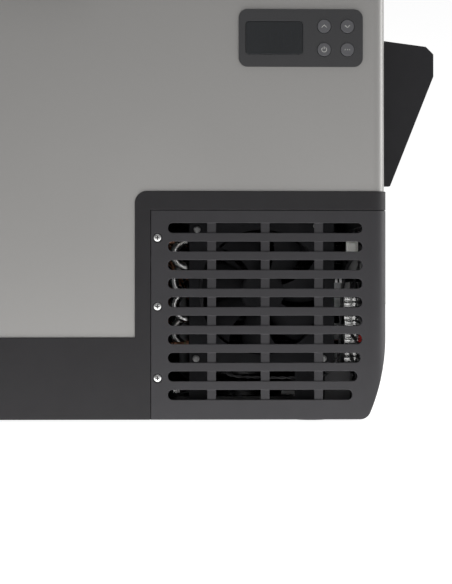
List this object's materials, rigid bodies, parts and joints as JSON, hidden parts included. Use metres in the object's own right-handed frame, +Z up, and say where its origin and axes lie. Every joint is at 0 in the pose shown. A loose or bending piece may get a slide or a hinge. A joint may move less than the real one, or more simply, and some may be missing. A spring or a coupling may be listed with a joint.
{
  "type": "compressor cooler fridge",
  "caption": "Chest fridge with hinged latching lid, wedge end handles, grey skin and a louvred compressor bay in a charcoal base.",
  "frame": {"origin": "centre of the footprint's bounding box, on the plane that the rubber feet stand on", "axes": "+Z up; -Y is the front, with the latch, control panel and louvred cover; +X points to the compressor end"},
  "size_m": [0.724, 0.41, 0.48],
  "materials": {
    "charcoal_plastic": "fine-grained matt moulding",
    "steel_skin": "grey metallic lacquer, satin",
    "plated_screw": "zinc plated",
    "galvanised_sheet": "dull galvanised",
    "foam": "open-cell cut surface",
    "liner_plastic": "smooth vacuum-formed",
    "aluminium_plate": "mill finish",
    "rubber_black": "matt",
    "handle_plastic": "glass-filled, matt",
    "hinge_metal": "black powder coat",
    "spring_steel": "bright wire",
    "black_plastic": "semi-gloss",
    "display_glass": "tinted",
    "button_plastic": "satin",
    "circuit_board": "solder mask",
    "black_enamel": "black enamel",
    "tube_metal": "drawn tube",
    "copper": "drawn copper",
    "wire_insulation": "PVC insulation",
    "light_plastic": "plain",
    "coated_wire": "white plastic coating"
  },
  "bodies": {
    "cabinet": {"base_tray": "charcoal_plastic", "outer_skin": "steel_skin", "compressor_cover": "charcoal_plastic", "cover_screws": "plated_screw", "bay_liner": "galvanised_sheet", "foam_insulation": "foam", "inner_liner": "liner_plastic", "evaporator_plate": "aluminium_plate", "top_frame": "charcoal_plastic", "rubber_feet": "rubber_black", "drain_tube": "liner_plastic", "handle_right": "handle_plastic", "handle_left": "handle_plastic", "handle_grips": "rubber_black", "handle_screws": "plated_screw", "hinge_body_leaves": "hinge_metal", "hinge_pins": "plated_screw", "body_screws": "plated_screw", "latch_keeper": "hinge_metal", "control_bezel": "black_plastic", "display_lens": "display_glass", "control_board": "circuit_board", "fan_shroud": "black_plastic", "fan_frame": "black_plastic", "shroud_screws": "plated_screw", "condenser_fins": "aluminium_plate", "condenser_tube": "tube_metal", "condenser_end_plates": "galvanised_sheet", "compressor_shell": "black_enamel", "terminal_cover": "black_plastic", "compressor_grommets": "rubber_black", "compressor_bolts": "plated_screw", "electronics_bracket": "hinge_metal", "controller_module": "black_plastic", "power_converter": "aluminium_plate", "fan_connector": "light_plastic", "filter_drier": "copper", "refrigerant_lines": "copper", "wiring_harness": "wire_insulation", "dc_inlet": "black_plastic", "ac_inlet": "black_plastic", "led_lamp": "light_plastic"},
    "lid": {"lid_outer": "charcoal_plastic", "lid_foam": "foam", "lid_inner": "liner_plastic", "lid_gasket": "rubber_black", "hinge_lid_leaves": "hinge_metal", "lid_screws": "plated_screw", "latch_base": "charcoal_plastic", "latch_pin": "plated_screw", "latch_spring": "spring_steel"},
    "latch": {"latch_lever": "handle_plastic"},
    "fan": {"fan_rotor": "black_plastic"},
    "power_button": {"button_power": "button_plastic"},
    "mode_button": {"button_mode": "button_plastic"},
    "up_button": {"button_up": "button_plastic"},
    "down_button": {"button_down": "button_plastic"},
    "basket": {"wire_basket": "coated_wire", "basket_divider": "coated_wire"},
    "plug": {"drain_plug": "rubber_black"}
  },
  "joints": [
    {"name": "lid_hinge", "type": "hinge", "parent": "cabinet", "child": "lid", "pos_m": [0, 0.2005, 0.413], "axis": [-1, 0, 0], "range_deg": [0, 100]},
    {"name": "latch_pivot", "type": "hinge", "parent": "lid", "child": "latch", "pos_m": [0, -0.2008, 0.442], "axis": [-1, 0, 0], "range_deg": [0, 40], "stiffness_Nm_per_rad": 0.3, "springref_deg": -8.59},
    {"name": "fan_spin", "type": "hinge", "parent": "cabinet", "child": "fan", "pos_m": [0.1995, -0.1575, 0.117], "axis": [0, -1, 0], "continuous": true},
    {"name": "power_button_press", "type": "slide", "parent": "cabinet", "child": "power_button", "axis": [0, 1, 0], "range_m": [0, 0.0012], "stiffness_N_per_m": 500, "springref_m": -0.001},
    {"name": "mode_button_press", "type": "slide", "parent": "cabinet", "child": "mode_button", "axis": [0, 1, 0], "range_m": [0, 0.0012], "stiffness_N_per_m": 500, "springref_m": -0.001},
    {"name": "up_button_press", "type": "slide", "parent": "cabinet", "child": "up_button", "axis": [0, 1, 0], "range_m": [0, 0.0012], "stiffness_N_per_m": 500, "springref_m": -0.001},
    {"name": "down_button_press", "type": "slide", "parent": "cabinet", "child": "down_button", "axis": [0, 1, 0], "range_m": [0, 0.0012], "stiffness_N_per_m": 500, "springref_m": -0.001},
    {"name": "basket_lift", "type": "slide", "parent": "cabinet", "child": "basket", "axis": [0, 0, 1], "range_m": [0, 0.055]},
    {"name": "drain_plug_pull", "type": "slide", "parent": "cabinet", "child": "plug", "axis": [0, 0, 1], "range_m": [0, 0.012]}
  ]
}
